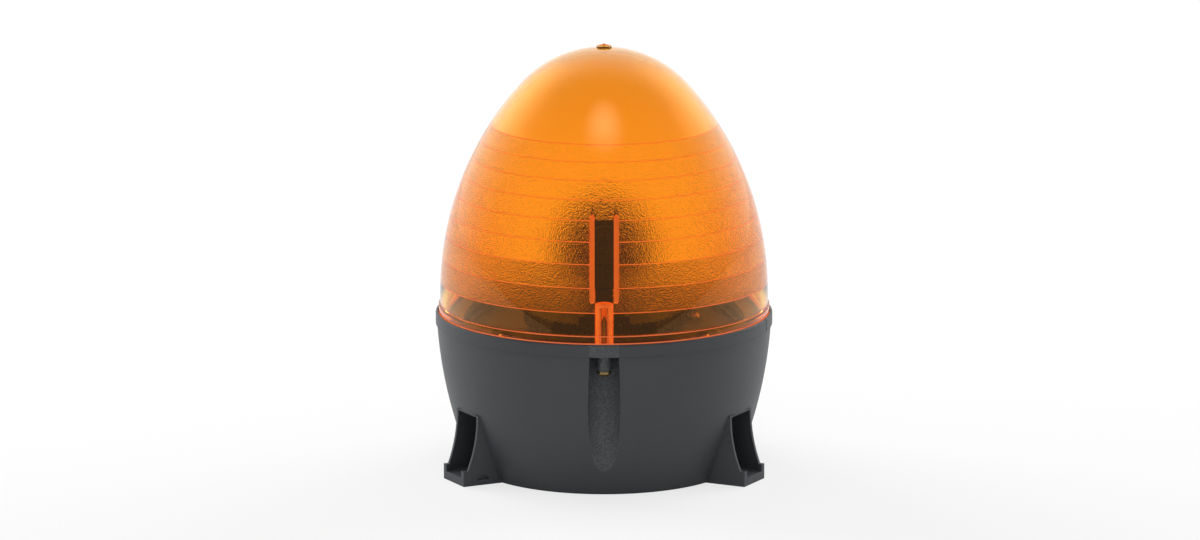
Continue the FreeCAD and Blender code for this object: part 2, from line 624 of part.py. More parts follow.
# ---------------------------------------------------------------- chassis plate and centre post
def motor_screw_spots():
    """The x and y formulas of the motor's two screws, each side of its shaft."""
    spots = []
    for side in ("-", "+"):
        x = f"{MOTOR_CIRCLE} * cos(motor_azimuth) {side} motor_screw_circle_r * sin(motor_azimuth)"
        opposite = "+" if side == "-" else "-"
        y = f"{MOTOR_CIRCLE} * sin(motor_azimuth) {opposite} motor_screw_circle_r * cos(motor_azimuth)"
        spots.append((x, y))
    return spots


def chassis_plate():
    hole = "centre_r + plate_gap"
    low = f"{DECK} - plate_hub_depth"
    rim = f"{PLATE_TOP} + plate_rim_height"
    disc = turned("plate_disc", [
        (hole, low), ("plate_hub_r", low), ("plate_hub_r", DECK), (PLATE_R, DECK), (PLATE_R, rim),
        (f"{PLATE_R} - plate_rim", rim), (f"{PLATE_R} - plate_rim", PLATE_TOP), (hole, PLATE_TOP),
    ])
    over = f"{PLATE_TOP} + {CUT}"
    under = f"{DECK} - {CUT}"
    post = at_radius("plate_post_hole", PILOT, under, over, POST_CIRCLE)
    hub = at_radius("plate_hub_pilot", PILOT, f"{low} + {CUT}", over, "centre_screw_circle_r")
    x, y = polar_spot(MOTOR_CIRCLE, "motor_azimuth")
    tools = [copies(post, FOOT_AZIMUTHS), copies(hub, FOOT_AZIMUTHS),
             raised("plate_nose_hole", "motor_nose_r + plate_gap", under, over, x, y),
             raised("plate_wire_hole", "wire_hole_r", under, over, "0", "wire_hole_y")]
    for i, (x, y) in enumerate(motor_screw_spots()):
        tools.append(raised(f"plate_motor_hole_{i}", PILOT, under, over, x, y))
    return finished(cut("plate", disc, *tools), "chassis_plate")


def chassis_screws():
    spots = [polar_spot(POST_CIRCLE, azimuth) + (PLATE_TOP,) for azimuth in FOOT_AZIMUTHS]
    return small_screws("chassis_screws", "chassis_bite", spots)


def centre_post():
    """The hollow post: a flange on the plate, a bearing journal, and a groove for the clip."""
    low = f"{DECK} - centre_below"
    groove = "centre_r - clip_groove"
    groove_top = f"{CLIP_LOW} + clip_thick + plate_gap"
    tube = turned("post_tube", [
        ("centre_bore_r", low), ("centre_r", low), ("centre_r", PLATE_TOP), ("centre_flange_r", PLATE_TOP),
        ("centre_flange_r", FLANGE_TOP), ("centre_r", FLANGE_TOP), ("centre_r", CLIP_LOW), (groove, CLIP_LOW),
        (groove, groove_top), ("centre_r", groove_top), ("centre_r", CENTRE_TOP),
        ("centre_bore_r", CENTRE_TOP),
    ])
    hole = at_radius("post_flange_hole", PILOT, f"{PLATE_TOP} - {CUT}", f"{FLANGE_TOP} + {CUT}",
                     "centre_screw_circle_r")
    return finished(cut("post", tube, copies(hole, FOOT_AZIMUTHS)), "centre_post")


def post_screws():
    spots = [polar_spot("centre_screw_circle_r", azimuth) + (FLANGE_TOP,) for azimuth in FOOT_AZIMUTHS]
    return small_screws("post_screws", "long_bite", spots)


def thrust_washer():
    top = f"{FLANGE_TOP} + washer_thick"
    return turned_body("thrust_washer", ring_section("centre_r + plate_gap", "washer_r", FLANGE_TOP, top))


def retaining_clip():
    """A flat ring, open to the back, sprung into the post's groove above the hub."""
    top = f"{CLIP_LOW} + clip_thick"
    disc = turned("clip_disc", ring_section("centre_r - clip_groove + pilot_gap", "clip_r", CLIP_LOW, top))
    opening = block("clip_opening", "clip_open", "2 * clip_r", "3 * clip_thick", "0", "clip_r",
                    f"{CLIP_LOW} - clip_thick")
    return finished(cut("clip", disc, opening), "retaining_clip")


# ---------------------------------------------------------------- gears
def gear_outline(name, teeth, azimuth):
    """The face of an involute spur gear, one tooth centred on an azimuth in degrees."""
    module = value("tooth_module")
    angle = math.radians(value("pressure_angle"))
    pitch_r = module * teeth / 2
    base_r = pitch_r * math.cos(angle)
    tip_r = pitch_r + module * value("tooth_addendum")
    root_r = pitch_r - module * value("tooth_dedendum")
    half_pitch = (math.pi * module / 2 - value("backlash") / 2) / (2 * pitch_r)

    def half_angle(radius):
        """Half a tooth's angle at a radius; below the base circle the flank is radial."""
        roll = math.acos(min(1.0, base_r / radius))
        return half_pitch + (math.tan(angle) - angle) - (math.tan(roll) - roll)

    start_r = max(base_r, root_r)
    flank = [root_r] if root_r < base_r else []
    flank += [start_r, (start_r + tip_r) / 2, tip_r]
    points = []
    for i in range(teeth):
        middle = math.radians(azimuth) + 2 * math.pi * i / teeth
        side = [(radius, half_angle(radius)) for radius in flank]
        for radius, half in [(r, -a) for r, a in side] + side[::-1]:
            turn = middle + half
            points.append(FreeCAD.Vector(radius * math.cos(turn), radius * math.sin(turn), 0))
    face = doc.addObject("Part::Feature", name)
    face.Shape = Part.Face(Part.makePolygon(points + points[:1]))
    return face


def drive_gear():
    """The turntable: a hub, a web and a toothed rim in one moulding."""
    teeth = int(value("gear_teeth"))
    rim = extruded("gear_teeth_disc", gear_outline("gear_face", teeth, value("motor_azimuth")), "gear_face")
    place(rim, z=GEAR_LOW)
    root = "(tooth_module * (gear_teeth / 2 - tooth_dedendum))"
    bore = raised("gear_rim_bore", f"{root} - gear_rim", f"{GEAR_LOW} - {CUT}", f"{GEAR_TOP} + {CUT}")
    web_low = f"{GEAR_TOP} - gear_web"
    web_r = f"{root} - gear_rim / 2"
    hub = turned("gear_hub", [
        (HUB_INNER, HUB_LOW), (HUB_OUTER, HUB_LOW), (HUB_OUTER, web_low), (web_r, web_low), (web_r, GEAR_TOP),
        (HUB_OUTER, GEAR_TOP), (HUB_OUTER, HUB_TOP), (HUB_INNER, HUB_TOP),
    ])
    holes = [raised(f"gear_carrier_hole_{i}", PILOT, f"{web_low} - {CUT}", f"{GEAR_TOP} + {CUT}", x, y)
             for i, (x, y) in enumerate(carrier_screw_spots())]
    wheel = fused("gear_wheel", cut("gear_rim_ring", rim, bore), hub)
    return finished(cut("gear", wheel, *holes), "drive_gear")


def bearing_bush():
    return turned_body("bearing_bush", ring_section(BUSH_INNER, HUB_INNER, BUSH_LOW, HUB_TOP))


def pinion():
    teeth = int(value("pinion_teeth"))
    facing = value("motor_azimuth") + 180 + 180 / teeth
    height = "gear_face + pinion_extra"
    low = f"{GEAR_LOW} - pinion_extra / 2"
    disc = extruded("pinion_disc", gear_outline("pinion_face", teeth, facing), height)
    bore = raised("pinion_bore", "motor_shaft_r", f"-{CUT}", f"{height} + {CUT}")
    x, y = polar_spot(MOTOR_CIRCLE, "motor_azimuth")
    return finished(place(cut("pinion_solid", disc, bore), x, y, low), "pinion")


# ---------------------------------------------------------------- motor
def on_motor_axis(solid):
    return place(solid, *polar_spot(MOTOR_CIRCLE, "motor_azimuth"))


def motor_can():
    """The motor's can, with the nose that centres it in the plate and a blind bore for its shaft."""
    bore = "motor_shaft_r + running_gap"
    nose_top = f"{PLATE_TOP} - motor_nose"
    bottom = f"{DECK} - shaft_depth"
    form = turned("motor_form", [
        ("0", MOTOR_LOW), ("motor_r - motor_edge", MOTOR_LOW), ("motor_r", f"{MOTOR_LOW} + motor_edge"),
        ("motor_r", DECK), ("motor_nose_r", DECK), ("motor_nose_r", nose_top), (bore, nose_top),
        (bore, bottom), ("0", bottom),
    ])
    on_motor_axis(form)
    holes = [raised(f"motor_pilot_{i}", PILOT, f"{DECK} - short_bite", f"{DECK} + {CUT}", x, y)
             for i, (x, y) in enumerate(motor_screw_spots())]
    return finished(cut("motor", form, *holes), "motor_can")


def motor_end_cap():
    low = f"{MOTOR_LOW} - end_cap_thick"
    cap = turned_body("motor_end_cap", [
        ("0", low), ("end_cap_r - motor_edge", low), ("end_cap_r", f"{low} + motor_edge"),
        ("end_cap_r", MOTOR_LOW), ("0", MOTOR_LOW),
    ])
    return on_motor_axis(cap)


def motor_terminals():
    """The two tabs that the motor's wires push onto."""
    x, y = polar_spot(MOTOR_CIRCLE, "motor_azimuth")
    low = f"{MOTOR_LOW} - end_cap_thick - tab_length"
    tabs = []
    for i, side in enumerate("-+"):
        across = f"{x} {side} end_cap_r / 2"
        tabs.append(block(f"motor_tab_{i}", "tab_thick", "tab_width", "tab_length", across, y, low))
    return finished(group("motor_tab_pair", tabs), "motor_terminals")


def motor_shaft():
    low = f"{DECK} - shaft_depth + washer_gap"
    top = f"{GEAR_TOP} + pinion_extra + shaft_proud"
    shaft = turned_body("motor_shaft", [
        ("0", low), ("motor_shaft_r", low), ("motor_shaft_r", f"{top} - shaft_edge"),
        ("motor_shaft_r - shaft_edge", top), ("0", top),
    ])
    return on_motor_axis(shaft)


def motor_screws():
    return small_screws("motor_screws", "short_bite", [spot + (PLATE_TOP,) for spot in motor_screw_spots()])


# ---------------------------------------------------------------- reflector and carrier
def mirror_turned(name, corners_low, corners_high):
    """A solid turned about +Y through the focus from a parabolic section between two sets of ends."""
    solid = doc.addObject("Part::Feature", name)
    face = Part.Face(Part.Wire(Part.__sortEdges__(corners_low + corners_high)))
    solid.Shape = face.revolve(FreeCAD.Vector(), UP, 360)
    return place(solid, z=FOCUS, turn=-90, axis=AXIS_X)


def parabola(shift):
    """The mirror's curve from its vertex to its rim, moved back by a shift, and its two ends."""
    focal = value("focal_length")
    steps = 6
    radii = [2 * focal * i / steps for i in range(steps + 1)]
    points = [FreeCAD.Vector(r, 0, r * r / (4 * focal) - focal - shift) for r in radii]
    curve = Part.BSplineCurve()
    curve.interpolate(points)
    return curve.toShape(), points[0], points[-1]


def reflector():
    wall = value("mirror_wall")
    inner, inner_vertex, inner_rim = parabola(0.0)
    outer, outer_vertex, outer_rim = parabola(wall)
    across = FreeCAD.Vector(value("mirror_rim"), 0, 0)
    lip = Part.makePolygon([inner_rim, inner_rim + across, outer_rim + across, outer_rim]).Edges
    middle = Part.LineSegment(inner_vertex, outer_vertex).toShape()
    shell = mirror_turned("mirror_shell", [inner, outer], lip + [middle])
    mouth = FreeCAD.Vector(0, 0, inner_rim.z)
    cap = [Part.LineSegment(inner_rim, mouth).toShape(), Part.LineSegment(mouth, inner_vertex).toShape()]
    space = mirror_turned("mirror_space", [inner.copy()], cap)
    bosses, pilots = [], []
    for i, side in enumerate("-+"):
        height = f"{FOCUS} {side} mirror_screw_half"
        boss = cylinder(f"mirror_boss_{i}", "mirror_boss_r", "carrier_y")
        bosses.append(place(boss, "0", "-carrier_y", height, -90, AXIS_X))
        pilot = cylinder(f"mirror_pilot_{i}", PILOT, f"short_bite - carrier_thick + {CUT} + pilot_gap")
        pilots.append(place(pilot, "0", f"-carrier_y - {CUT}", height, -90, AXIS_X))
    backs = cut("mirror_backs", fused("mirror_bosses", *bosses), space)
    lamp_way = raised("lamp_way", "lamp_way_r", f"{FOCUS} - 4 * focal_length", f"{FOCUS} - lamp_way_drop")
    return finished(cut("mirror", fused("mirror_whole", shell, backs), lamp_way, *pilots), "reflector")


def carrier_screw_spots():
    along = "-carrier_y - carrier_thick - carrier_foot / 2"
    return [("-carrier_screw_half", along), ("carrier_screw_half", along)]


def reflector_carrier():
    """A bracket folded from sheet: a foot on the turntable and an upright behind the reflector."""
    out = "(-carrier_y - carrier_thick - carrier_foot)"
    front = "(-carrier_y - carrier_thick)"
    foot_top = f"({GEAR_TOP} + carrier_thick)"
    top = f"({FOCUS} + mirror_screw_half + mirror_boss_r + carrier_margin)"
    side = doc.addObject("Sketcher::SketchObject", "carrier_side")
    side.Placement = FreeCAD.Placement(FreeCAD.Vector(), FreeCAD.Rotation(FreeCAD.Vector(1, 1, 1), 120))
    draw(side, [
        (out, GEAR_TOP), (f"{front} + carrier_thick - carrier_fold_r", GEAR_TOP, "carrier_fold_r"),
        ("-carrier_y", f"{GEAR_TOP} + carrier_fold_r"), ("-carrier_y", top), (front, top), (front, foot_top),
        (out, foot_top),
    ])
    fold = extruded("carrier_fold", side, "carrier_foot_width", AXIS_X, both=True)
    half_foot = "(carrier_foot_width / 2)"
    half_top = "(carrier_width / 2)"
    shoulder = f"{foot_top} + carrier_thick"
    face = upright_sketch("carrier_face", [
        (f"-{half_foot}", GEAR_TOP), (half_foot, GEAR_TOP), (half_foot, shoulder),
        (half_top, f"{shoulder} + {half_foot} - {half_top}"), (half_top, f"{top} - {half_top}", half_top),
        ("0", top, half_top),
        (f"-{half_top}", f"{top} - {half_top}"), (f"-{half_top}", f"{shoulder} + {half_foot} - {half_top}"),
        (f"-{half_foot}", shoulder),
    ])
    blank = extruded("carrier_blank", face, "4 * carrier_y + 4 * carrier_foot", SIDEWAYS, both=True)
    holes = [raised(f"carrier_hole_{i}", PILOT, f"{GEAR_TOP} - {CUT}", f"{foot_top} + {CUT}", x, y)
             for i, (x, y) in enumerate(carrier_screw_spots())]
    for i, sign in enumerate("-+"):
        hole = cylinder(f"carrier_mirror_hole_{i}", PILOT, f"carrier_thick + 2 * {CUT}")
        holes.append(place(hole, "0", f"{front} - {CUT}", f"{FOCUS} {sign} mirror_screw_half", -90, AXIS_X))
    return finished(cut("carrier", common("carrier_bracket", fold, blank), *holes), "reflector_carrier")


def carrier_screws():
    top = f"{GEAR_TOP} + carrier_thick"
    return small_screws("carrier_screws", "short_bite", [spot + (top,) for spot in carrier_screw_spots()])


def reflector_screws():
    screws = []
    for i, side in enumerate("-+"):
        screw = screw_solid(f"reflector_screw_{i}", "screw_head_r", "screw_head", "screw_shank_r",
                            "short_bite")
        height = f"{FOCUS} {side} mirror_screw_half"
        screws.append(place(screw, "0", "-carrier_y - carrier_thick", height, 90, AXIS_X))
    return finished(group("reflector_screw_pair", screws), "reflector_screws")


# ---------------------------------------------------------------- lamp
HOLDER_LOW = f"({CENTRE_TOP} - holder_overlap)"
SOCKET_FLOOR = f"({CENTRE_TOP} + holder_web)"
CAP_TOP = f"({SOCKET_FLOOR} + cap_height)"


def lamp_holder():
    """A ceramic socket that caps the post, with a way through its web for the wires."""
    top = f"{HOLDER_LOW} + holder_height"
    bore = "centre_r + holder_gap"
    socket = "cap_r + holder_gap"
    return turned_body("lamp_holder", [
        (bore, HOLDER_LOW), ("holder_r", HOLDER_LOW), ("holder_r", top), (socket, top),
        (socket, SOCKET_FLOOR), ("holder_wire_r", SOCKET_FLOOR), ("holder_wire_r", CENTRE_TOP),
        (bore, CENTRE_TOP),
    ])


def lamp_cap():
    return turned_body("lamp_cap", ring_section("0", "cap_r", SOCKET_FLOOR, CAP_TOP))


def lamp_glass():
    top = f"({CAP_TOP} + glass_height)"
    return turned_body("lamp_glass", [
        ("0", CAP_TOP), ("glass_neck_r", CAP_TOP), ("glass_r", f"{CAP_TOP} + glass_shoulder"),
        ("glass_r", f"{top} - glass_r", "glass_r"), ("0", top),
    ])


# ---------------------------------------------------------------- board, terminals and cord clamp
def suppressor_board():
    board = block("board_blank", "board_length", "board_width", "board_thick", "0", "board_y",
                  "body_floor + board_lift")
    under = f"body_floor + board_lift - {CUT}"
    over = f"{BOARD_TOP} + {CUT}"
    holes = [raised(f"board_hole_{i}", PILOT, under, over, x, y) for i, (x, y) in enumerate(board_corners())]
    return finished(cut("board", board, *holes), "suppressor_board")


def board_screws():
    spots = [spot + (BOARD_TOP,) for spot in board_corners()]
    return small_screws("board_screws", "short_bite", spots)


def way_spots():
    return [f"{i} * way_pitch" for i in (-1, 0, 1)]


def terminal_block():
    """A stepped three-way block: wires enter from its sides, screws go down its crown."""
    side = doc.addObject("Sketcher::SketchObject", "block_side")
    side.Placement = FreeCAD.Placement(FreeCAD.Vector(), FreeCAD.Rotation(FreeCAD.Vector(1, 1, 1), 120))
    top = f"{BOARD_TOP} + block_height"
    step = f"{BOARD_TOP} + block_step_height"
    draw(side, [
        ("block_y - block_width / 2", BOARD_TOP), ("block_y + block_width / 2", BOARD_TOP),
        ("block_y + block_width / 2", step), ("block_y + block_top_width / 2", f"{step} + block_edge"),
        ("block_y + block_top_width / 2", top), ("block_y - block_top_width / 2", top),
        ("block_y - block_top_width / 2", f"{step} + block_edge"), ("block_y - block_width / 2", step),
    ])
    form = extruded("block_form", side, "block_length", AXIS_X, both=True)
    tools = []
    for i, x in enumerate(way_spots()):
        way = cylinder(f"block_way_{i}", "way_r", f"block_width + 2 * {CUT}")
        low = f"block_y - block_width / 2 - {CUT}"
        tools.append(place(way, x, low, f"{BOARD_TOP} + way_height", -90, AXIS_X))
        tools.append(raised(f"block_well_{i}", "screw_head_r + pilot_gap", f"{top} - screw_head - {CUT}",
                            f"{top} + {CUT}", x, "block_y"))
        tools.append(raised(f"block_thread_{i}", PILOT, f"{BOARD_TOP} + way_height", top, x, "block_y"))
    return finished(cut("block_solid", form, *tools), "terminal_block")


def terminal_screws():
    seat = f"{BOARD_TOP} + block_height - screw_head - {CUT}"
    return small_screws("terminal_screws", "short_bite", [(x, "block_y", seat) for x in way_spots()])


def suppressor_capacitor():
    part = block("capacitor_body", "capacitor_length", "capacitor_width", "capacitor_height", "0",
                 "capacitor_y", BOARD_TOP)
    return finished(part, "suppressor_capacitor")


def cord_clamp():
    """A strap across two posts, arched over the cable."""
    low = "(body_floor + clamp_lift)"
    top = f"({low} + clamp_thick)"
    half = "(clamp_span / 2)"
    strap_side = upright_sketch("clamp_side", [
        (f"-{half}", low), ("-clamp_arch_r", low),
        ("-clamp_arch_r + clamp_arch_rise", f"{low} + clamp_arch_rise"),
        ("clamp_arch_r - clamp_arch_rise", f"{low} + clamp_arch_rise"), ("clamp_arch_r", low), (half, low),
        (half, top), (f"-{half}", top),
    ])
    strap = place(extruded("clamp_strap", strap_side, "clamp_width", SIDEWAYS, both=True), y="clamp_y")
    holes = [raised(f"clamp_hole_{i}", PILOT, f"{low} - {CUT}", f"{top} + {CUT}", x, y)
             for i, (x, y) in enumerate(clamp_posts())]
    return finished(cut("clamp", strap, *holes), "cord_clamp")


def clamp_screws():
    top = "body_floor + clamp_lift + clamp_thick"
    return small_screws("clamp_screws", "short_bite", [spot + (top,) for spot in clamp_posts()])


for make in (
    base_housing, dome, dome_gasket, dome_screws, cable_grommet, chassis_plate, chassis_screws, centre_post,
    post_screws, thrust_washer, retaining_clip, drive_gear, bearing_bush, pinion, motor_can,
    motor_end_cap, motor_terminals, motor_shaft, motor_screws, reflector, reflector_carrier,
    carrier_screws, reflector_screws, lamp_holder, lamp_cap, lamp_glass, suppressor_board,
    board_screws, terminal_block, terminal_screws,
    suppressor_capacitor, cord_clamp, clamp_screws,
):
    make()
doc.recompute()

for thing in doc.Objects:
    if {"Invalid", "Error"} & set(thing.State):
        raise RuntimeError(f"{thing.Name} failed: {thing.State}")
for part in SUBPARTS:
    if part.Shape.isNull() or not part.Shape.isValid() or not part.Shape.Solids:
        raise RuntimeError(f"{part.Label} has no valid solid")

os.makedirs("parts", exist_ok=True)
for part in SUBPARTS:
    part.Shape.exportStep(f"parts/{part.Label}.step")
    print(f"{part.Label}: {len(part.Shape.Solids)} solid(s), {part.Shape.Volume:.1f} mm3")
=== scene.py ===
import math

import bmesh
import bpy
from mathutils import Matrix, Vector


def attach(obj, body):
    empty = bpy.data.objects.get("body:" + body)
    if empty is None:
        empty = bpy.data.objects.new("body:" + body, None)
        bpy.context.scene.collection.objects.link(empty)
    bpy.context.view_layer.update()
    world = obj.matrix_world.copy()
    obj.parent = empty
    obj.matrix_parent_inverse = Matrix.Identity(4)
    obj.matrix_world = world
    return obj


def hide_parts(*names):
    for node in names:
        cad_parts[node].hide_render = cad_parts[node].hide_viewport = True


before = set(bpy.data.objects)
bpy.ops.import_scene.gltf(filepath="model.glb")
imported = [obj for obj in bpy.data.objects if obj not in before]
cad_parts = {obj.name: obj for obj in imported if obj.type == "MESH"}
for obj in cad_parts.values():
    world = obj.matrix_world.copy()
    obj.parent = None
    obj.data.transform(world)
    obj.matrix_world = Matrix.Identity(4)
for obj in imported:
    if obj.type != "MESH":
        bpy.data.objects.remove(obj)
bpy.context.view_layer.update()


# ---------------------------------------------------------------- camera
# The beacon is seen from its front, a little above the dome's foot, through a long lens that
# stands well back, so that its upright lines stay nearly parallel.
VIEW_FROM_ABOVE = math.radians(11.7)
VIEW_DISTANCE = 2.08
VIEW_WIDTH = 0.534                          # how much the frame takes in, at the axis
AIM = Vector((-0.0018, 0, 0.0878))
SENSOR_WIDTH = 36.0

camera_data = bpy.data.cameras.new("camera")
camera_data.sensor_width = SENSOR_WIDTH
camera_data.lens = SENSOR_WIDTH * VIEW_DISTANCE / VIEW_WIDTH
camera_data.clip_end = 50.0
camera = bpy.data.objects.new("camera", camera_data)
bpy.context.scene.collection.objects.link(camera)
towards = Vector((0, -math.cos(VIEW_FROM_ABOVE), math.sin(VIEW_FROM_ABOVE)))
camera.location = AIM + VIEW_DISTANCE * towards
camera.rotation_euler = (math.pi / 2 - VIEW_FROM_ABOVE, 0, 0)
bpy.context.scene.camera = camera
bpy.context.scene.view_settings.view_transform = "Standard"


# ---------------------------------------------------------------- studio
# A white sweep of paper under plain soft light: an even white surround, one broad window on
# each side and a small soft one high in front, which leaves the one pale patch on the dome.
def linear(code):
    """The linear RGBA of an sRGB colour written as a hex code."""
    channels = [int(code[i:i + 2], 16) / 255 for i in (1, 3, 5)]
    return tuple(c / 12.92 if c <= 0.04045 else ((c + 0.055) / 1.055) ** 2.4 for c in channels) + (1.0,)


def add_node(tree, kind, inputs=(), **settings):
    """Add a shader node, set its settings, and fill its inputs with values or with outputs."""
    made = tree.nodes.new("ShaderNode" + kind)
    for name, setting in settings.items():
        setattr(made, name, setting)
    for socket, source in dict(inputs).items():
        if isinstance(source, bpy.types.NodeSocket):
            tree.links.new(source, made.inputs[socket])
        else:
            made.inputs[socket].default_value = source
    return made


SURROUND = 0.42                             # how much light the surround sheds on the object
ROOM = 0.08                                 # what a reflection shows of the dark room in front
BRIGHT = 1.3                                # and of the white behind: more than the 1 the eye sees
WORLD_FADE, PAPER_FADE = (-0.3, 0.8), (0.0, 0.5)
PAPER_GLOW = 0.72                           # the share of its white that a shadow can't take
PAPER_WHITE = "#F4F4F4"
PAPER_REACH, PAPER_FRONT = 6.0, 0.34


def shown_white(tree, place, fade):
    """How white a surround shows: fully to the eye, and in mirrors and through clear plastic from
    a dark room to its brightest over a span of Y; 0 where it only sheds its light."""
    ray = add_node(tree, "LightPath")
    back = add_node(tree, "SeparateXYZ", {0: place}).outputs["Y"]
    fading = add_node(tree, "MapRange", {
        "Value": back, "From Min": fade[0], "From Max": fade[1], "To Min": ROOM, "To Max": BRIGHT},
        interpolation_type="SMOOTHSTEP").outputs[0]
    clear = add_node(tree, "Math", {
        0: ray.outputs["Is Glossy Ray"], 1: ray.outputs["Is Transmission Ray"]},
        operation="MAXIMUM").outputs[0]
    first = add_node(tree, "Math", {0: ray.outputs["Diffuse Depth"], 1: 0.5},
                     operation="LESS_THAN").outputs[0]
    clear = add_node(tree, "Math", {0: clear, 1: first}, operation="MULTIPLY").outputs[0]
    clear = add_node(tree, "Math", {0: clear, 1: fading}, operation="MULTIPLY").outputs[0]
    return add_node(tree, "Math", {0: clear, 1: ray.outputs["Is Camera Ray"]},
                    operation="MAXIMUM").outputs[0]


world = bpy.data.worlds.new("white_surround")
bpy.context.scene.world = world
world.use_nodes = True
world.node_tree.nodes.clear()
tree = world.node_tree
white = shown_white(tree, add_node(tree, "TexCoord").outputs["Generated"], WORLD_FADE)
strength = add_node(tree, "Math", {0: white, 1: SURROUND}, operation="MAXIMUM")
backdrop = add_node(tree, "Background", {"Color": (1, 1, 1, 1), "Strength": strength.outputs[0]})
add_node(tree, "OutputWorld", {"Surface": backdrop.outputs[0]})

paper_mesh = bpy.data.meshes.new("paper_floor")
paper_corners = [(-PAPER_REACH, -PAPER_FRONT, 0), (PAPER_REACH, -PAPER_FRONT, 0),
                 (PAPER_REACH, PAPER_REACH, 0), (-PAPER_REACH, PAPER_REACH, 0)]
paper_mesh.from_pydata(paper_corners, [], [(0, 1, 2, 3)])
paper = bpy.data.objects.new("paper_floor", paper_mesh)
bpy.context.scene.collection.objects.link(paper)
paper_white = bpy.data.materials.new("matt_white_paper")
paper_white.use_nodes = True
tree = paper_white.node_tree
tree.nodes.clear()
white = shown_white(tree, add_node(tree, "TexCoord").outputs["Object"], PAPER_FADE)
glow = add_node(tree, "Math", {0: white, 1: PAPER_GLOW}, operation="MULTIPLY")
matt = add_node(tree, "BsdfDiffuse", {"Color": linear(PAPER_WHITE)})
shine = add_node(tree, "Emission", {"Color": (1, 1, 1, 1), "Strength": 1.0})
mixed = add_node(tree, "MixShader", {0: glow.outputs[0], 1: matt.outputs[0], 2: shine.outputs[0]})
add_node(tree, "OutputMaterial", {"Surface": mixed.outputs[0]})
paper_mesh.materials.append(paper_white)

# name, azimuth and elevation in degrees, width and height in metres, power in watts
WINDOWS = (
    ("left_window", 138, 22, 1.5, 1.5, 34),
    ("right_window", 42, 22, 1.5, 1.5, 26),
    ("front_window", -90, 63, 1.3, 0.95, 10),
)
WINDOW_DISTANCE = 1.9
WINDOW_MIDDLE = 1.6                         # the soft window's strength there; it fades to its rim
for name, azimuth, elevation, width, height, power in WINDOWS:
    light = bpy.data.lights.new(name, "AREA")
    light.shape = "RECTANGLE"
    light.size = width
    light.size_y = height
    light.energy = power
    lamp = bpy.data.objects.new(name, light)
    bpy.context.scene.collection.objects.link(lamp)
    az, el = math.radians(azimuth), math.radians(elevation)
    way = Vector((math.cos(el) * math.cos(az), math.cos(el) * math.sin(az), math.sin(el)))
    lamp.location = AIM + way * WINDOW_DISTANCE
    lamp.rotation_euler = way.to_track_quat("Z", "Y").to_euler()
    soft_front = name == "front_window"
    lamp.visible_glossy = soft_front
    lamp.visible_transmission = not soft_front      # keeps its image out of the dome's wall
    if soft_front:
        light.use_nodes = True
        tree = light.node_tree
        tree.nodes.clear()
        spot = add_node(tree, "NewGeometry").outputs["Parametric"]
        off = add_node(tree, "VectorMath", {0: spot, 1: (0.5, 0.5, 0)},
                       operation="DISTANCE").outputs["Value"]
        soft = add_node(tree, "MapRange", {
            "Value": off, "From Min": 0.0, "From Max": 0.5, "To Min": WINDOW_MIDDLE, "To Max": 0.0},
            interpolation_type="SMOOTHSTEP")
        glowing = add_node(tree, "Emission", {"Color": (1, 1, 1, 1), "Strength": soft.outputs[0]})
        add_node(tree, "OutputLight", {"Surface": glowing.outputs[0]})


# ---------------------------------------------------------------- amber dome
# One thick injection moulding of clear amber polycarbonate. Outside it is polished all over; inside,
# nine small ledges ring it and the bands between them are finely stippled to scatter the light.
# Three screw bosses and, above each, a pair of ribs stand on its inner wall.
MM = 0.001
DOME_R, DOME_TOP, BAND_TOP, CROWN_R = 73.0, 188.0, 78.0, 50.0
FLANGE_R, FLANGE_TOP, DOME_SEAT, DOME_WALL = 73.6, 73.8, 68.7, 2.5
RING_FIRST, RING_PITCH, RING_SHRINK, RING_COUNT, RING_STEP, RING_EDGE = 83.2, 10.65, 0.94, 9, 0.35, 0.4
GATE_R, GATE_HEIGHT, NIB_R, NIB_HEIGHT = 3.4, 0.9, 0.9, 0.8
SCREW_CIRCLE_R, BOSS_R, BOSS_TOP, PILOT_R, PILOT_DEPTH = 69.0, 4.1, 87.2, 2.0, 17.0
RIB_GAP, RIB_THICK, RIB_BOTTOM, RIB_TOP, RIB_DEPTH = 8.2, 2.1, 87.5, 124.0, 3.6
SCREW_AZIMUTHS = (-90, 30, 150)
SPIN_STEPS = 240

EGG_HEIGHT = DOME_TOP - BAND_TOP
EGG_SIDE = (DOME_R ** 2 + EGG_HEIGHT ** 2 - 2 * EGG_HEIGHT * CROWN_R) / (2 * (DOME_R - CROWN_R))
EGG_TURN = math.asin((EGG_HEIGHT - CROWN_R) / (EGG_SIDE - CROWN_R))


def egg_radius(depth, height):
    """The radius, a depth inside the egg's side, at a height above the band."""
    return DOME_R - EGG_SIDE + math.sqrt((EGG_SIDE - depth) ** 2 - (height - BAND_TOP) ** 2)


def egg_arcs(depth, first_height, side_steps=26, crown_steps=16):
    """Points up the egg's side from a height and over its crown, a depth inside its surface."""
    start = math.asin((first_height - BAND_TOP) / (EGG_SIDE - depth))
    points = []
    for i in range(side_steps):
        a = start + (EGG_TURN - start) * i / side_steps
        points.append((DOME_R - EGG_SIDE + (EGG_SIDE - depth) * math.cos(a),
                       BAND_TOP + (EGG_SIDE - depth) * math.sin(a)))
    for i in range(crown_steps + 1):
        a = EGG_TURN + (math.pi / 2 - EGG_TURN) * i / crown_steps
        points.append(((CROWN_R - depth) * math.cos(a),
                       DOME_TOP - CROWN_R + (CROWN_R - depth) * math.sin(a)))
    return points


def ring_height(index):
    return RING_FIRST + RING_PITCH * (1 - RING_SHRINK ** index) / (1 - RING_SHRINK)


